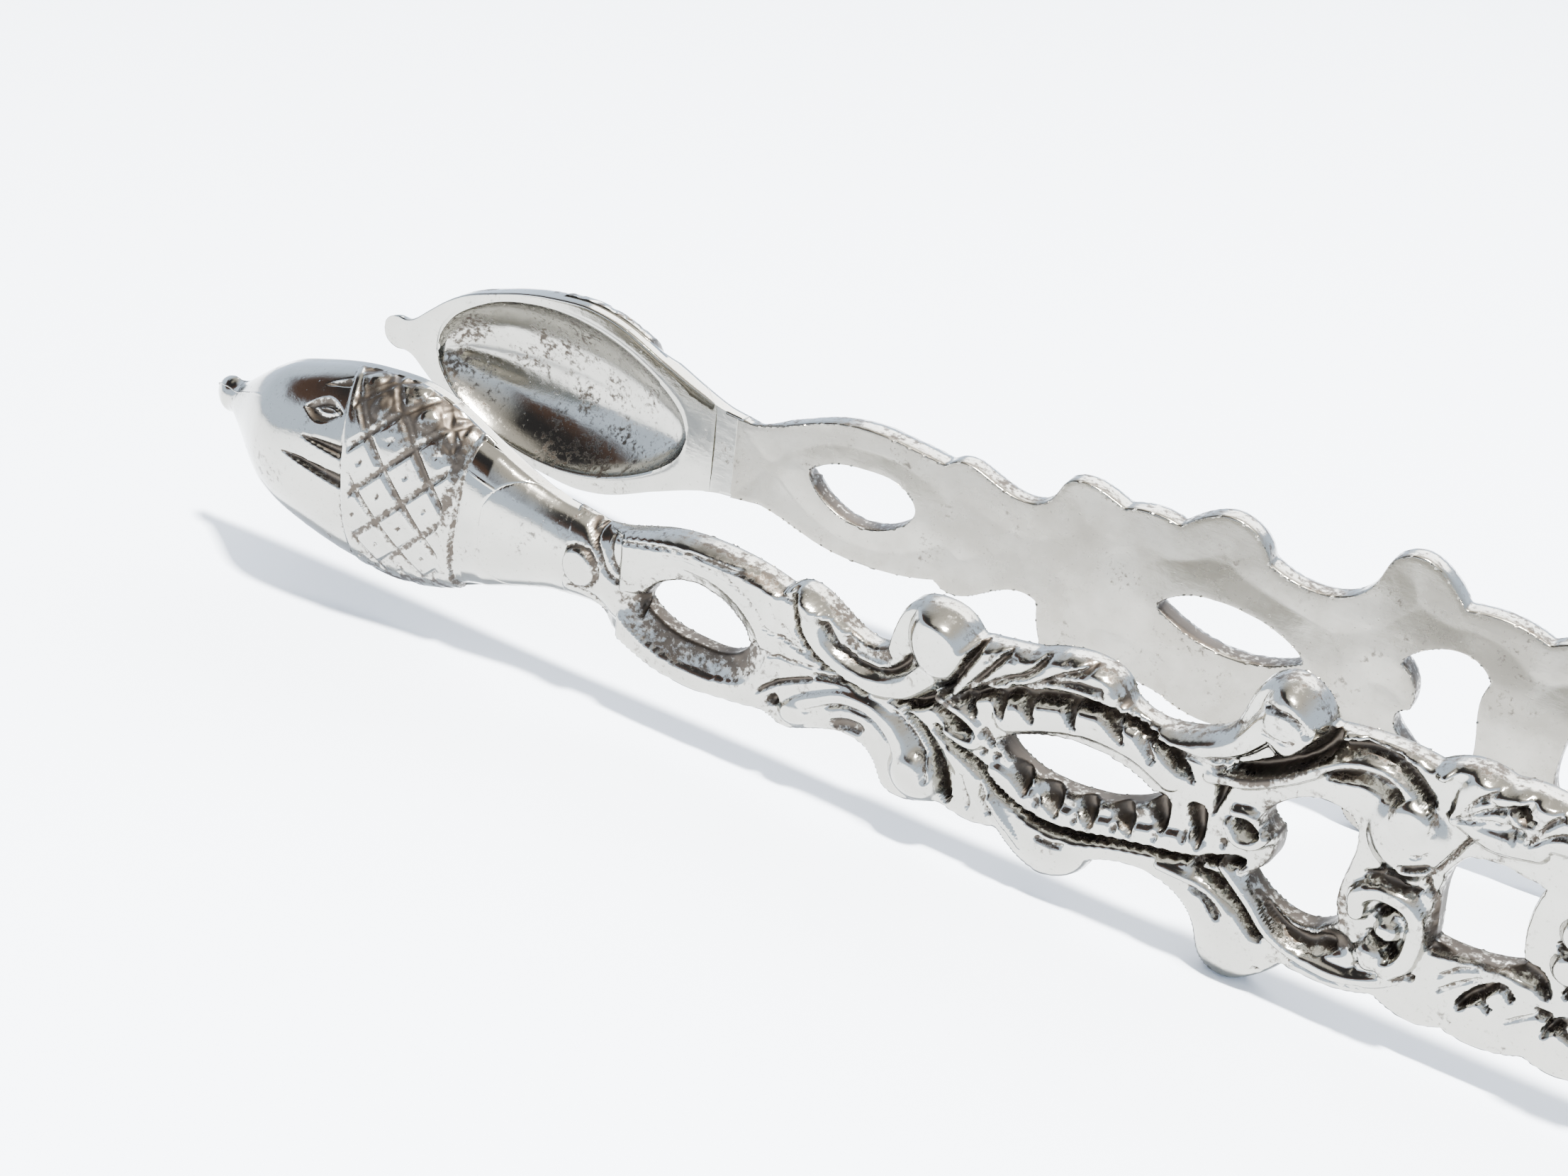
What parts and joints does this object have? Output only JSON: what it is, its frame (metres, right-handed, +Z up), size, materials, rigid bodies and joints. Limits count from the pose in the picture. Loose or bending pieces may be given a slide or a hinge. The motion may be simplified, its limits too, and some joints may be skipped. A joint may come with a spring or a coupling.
{
  "type": "ice tongs",
  "caption": "Spring tongs in cast silver: openwork scroll arms ending in hollow acorn bowls, joined by a U-shaped spring bow that closes them on an ice or sugar cube.",
  "frame": {"origin": "centre of the bounding box in plan, on the surface the tongs lie on, with the tongs on their side", "axes": "+X runs along the tongs from the acorn bowls to the bow, +Y from the front arm to the rear arm, and +Z is up, square to the plane in which the arms open and close"},
  "size_m": [0.148, 0.0277, 0.0208],
  "materials": {
    "bow_silver": "worn polish",
    "arm_silver": "polished relief with dark tarnish in the recesses",
    "acorn_silver": "polished nut and chased cup",
    "hard_solder": "dull seam"
  },
  "bodies": {
    "bow": {"spring_bow": "bow_silver"},
    "front": {"front_arm": "arm_silver", "front_acorn_bowl": "acorn_silver", "front_neck_solder": "hard_solder", "front_bow_solder": "hard_solder"},
    "rear": {"rear_arm": "arm_silver", "rear_acorn_bowl": "acorn_silver", "rear_neck_solder": "hard_solder", "rear_bow_solder": "hard_solder"}
  },
  "joints": [
    {"name": "front_squeeze", "type": "hinge", "parent": "bow", "child": "front", "pos_m": [0.0685, -0.0076, 0.0104], "axis": [0, 0, -1], "range_deg": [-2, 3], "stiffness_Nm_per_rad": 4.7, "deforming": ["spring_bow"]},
    {"name": "rear_squeeze", "type": "hinge", "parent": "bow", "child": "rear", "pos_m": [0.0685, 0.0076, 0.0104], "axis": [0, 0, 1], "range_deg": [-2, 3], "stiffness_Nm_per_rad": 4.7, "deforming": ["spring_bow"]}
  ],
  "couplings": [
    {"joint": "rear_squeeze", "follows": "front_squeeze", "ratio": 1}
  ]
}
